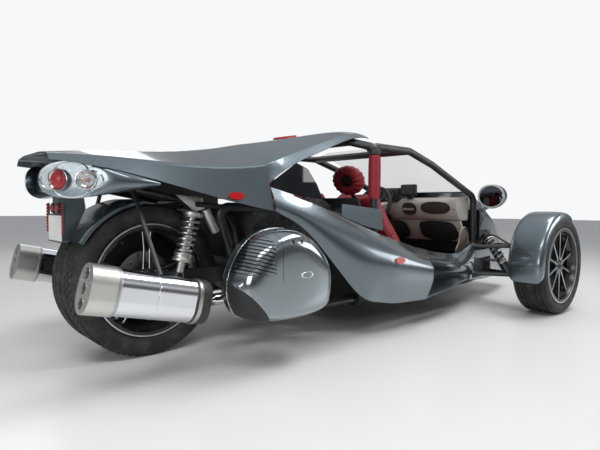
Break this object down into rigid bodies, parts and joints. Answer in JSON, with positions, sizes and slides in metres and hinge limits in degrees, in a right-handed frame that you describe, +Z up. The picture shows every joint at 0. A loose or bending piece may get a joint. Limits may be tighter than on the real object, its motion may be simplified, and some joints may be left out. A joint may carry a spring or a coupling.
{
  "type": "three wheeled car",
  "caption": "Low two-seat roadster with a pair of steered front wheels, a single driven rear wheel, an open cockpit with a roof, a long tail and side cases.",
  "frame": {"origin": "on the ground, at the middle of the vehicle's bounding box", "axes": "+X forward along the travel direction, +Y to the vehicle's left, +Z up (ISO 8855)"},
  "size_m": [3.505, 1.9792, 1.067],
  "materials": {
    "paint": "slate grey metallic, clear coat",
    "black_tube": "black powder coat",
    "tub": "black composite",
    "glass": "clear",
    "dark_glass": "dark tint",
    "engine": "dark cast",
    "steel": "machined",
    "rim": "black with machined edges",
    "tyre": "tread",
    "leather": "red, stitched",
    "chrome": "polished",
    "satin": "satin",
    "red_lamp": "clear red",
    "lens": "clear",
    "plate": "blank",
    "radiator": "black fins",
    "dash": "textured"
  },
  "bodies": {
    "body": {"rear_body": "paint", "nose_cowl": "paint", "side_panel_right": "paint", "side_panel_left": "paint", "sill_panel_right": "paint", "sill_panel_left": "paint", "seat_boards": "paint", "cockpit_tub": "tub", "chassis_rails": "black_tube", "rear_subframe": "black_tube", "roll_cage": "black_tube", "windscreen": "glass", "quarter_window_right": "dark_glass", "quarter_window_left": "dark_glass", "engine": "engine", "swingarm": "black_tube", "rear_shock": "steel", "drive_chain": "steel", "suspension_right": "black_tube", "suspension_left": "black_tube", "headlamps": "lens", "mirror_right": "paint", "mirror_left": "paint", "dashboard": "dash", "pedals": "satin", "seat_right": "leather", "seat_left": "leather", "hoop_pads": "leather", "case_body_right": "paint", "case_body_left": "paint", "silencer_right": "chrome", "silencer_left": "chrome", "silencer_cap_right": "satin", "silencer_cap_left": "satin", "tail_lamp_pod": "paint", "tail_lamps": "red_lamp", "tail_lens": "lens", "roof_lamp": "red_lamp", "side_markers": "red_lamp", "rear_fender": "paint", "number_plate": "plate", "radiators": "radiator"},
    "case_lid_right": {"case_lid_right": "paint"},
    "case_lid_left": {"case_lid_left": "paint"},
    "upright_right": {"knuckle_right": "black_tube", "front_fender_right": "paint"},
    "upright_left": {"knuckle_left": "black_tube", "front_fender_left": "paint"},
    "front_wheel_right": {"front_rim_right": "rim", "front_tyre_right": "tyre"},
    "front_wheel_left": {"front_rim_left": "rim", "front_tyre_left": "tyre"},
    "rear_wheel": {"rear_rim": "rim", "rear_tyre": "tyre"},
    "steering_wheel": {"steering_wheel": "dash"},
    "rack": {"steering_rack": "steel"}
  },
  "joints": [
    {"name": "steer_right", "type": "hinge", "parent": "body", "child": "upright_right", "pos_m": [0.9635, -0.742, 0.3], "axis": [0, 0, 1], "range_deg": [-30, 30]},
    {"name": "steer_left", "type": "hinge", "parent": "body", "child": "upright_left", "pos_m": [0.9635, 0.742, 0.3], "axis": [0, 0, 1], "range_deg": [-31, 31]},
    {"name": "rack_slide", "type": "slide", "parent": "body", "child": "rack", "axis": [0, 1, 0], "range_m": [-0.0645, 0.0645]},
    {"name": "steering_wheel_turn", "type": "hinge", "parent": "body", "child": "steering_wheel", "pos_m": [0.5775, 0.212, 0.655], "axis": [-0.9272, 0, 0.3746], "range_deg": [-182, 182]},
    {"name": "front_wheel_right_spin", "type": "hinge", "parent": "upright_right", "child": "front_wheel_right", "pos_m": [0.9635, -0.888, 0.3], "axis": [0, 1, 0], "continuous": true},
    {"name": "front_wheel_left_spin", "type": "hinge", "parent": "upright_left", "child": "front_wheel_left", "pos_m": [0.9635, 0.888, 0.3], "axis": [0, 1, 0], "continuous": true},
    {"name": "rear_wheel_spin", "type": "hinge", "parent": "body", "child": "rear_wheel", "pos_m": [-1.3225, 0, 0.331], "axis": [0, 1, 0], "continuous": true},
    {"name": "case_lid_right_open", "type": "hinge", "parent": "body", "child": "case_lid_right", "pos_m": [-0.9825, -0.5623, 0.19], "axis": [1, 0, 0], "range_deg": [0, 60]},
    {"name": "case_lid_left_open", "type": "hinge", "parent": "body", "child": "case_lid_left", "pos_m": [-0.9825, 0.5623, 0.19], "axis": [-1, 0, 0], "range_deg": [0, 60]}
  ],
  "couplings": [
    {"joint": "steer_left", "follows": "steer_right", "ratio": 1},
    {"joint": "rack_slide", "follows": "steer_right", "m_per_rad": 0.12},
    {"joint": "steering_wheel_turn", "follows": "steer_right", "ratio": 6}
  ]
}
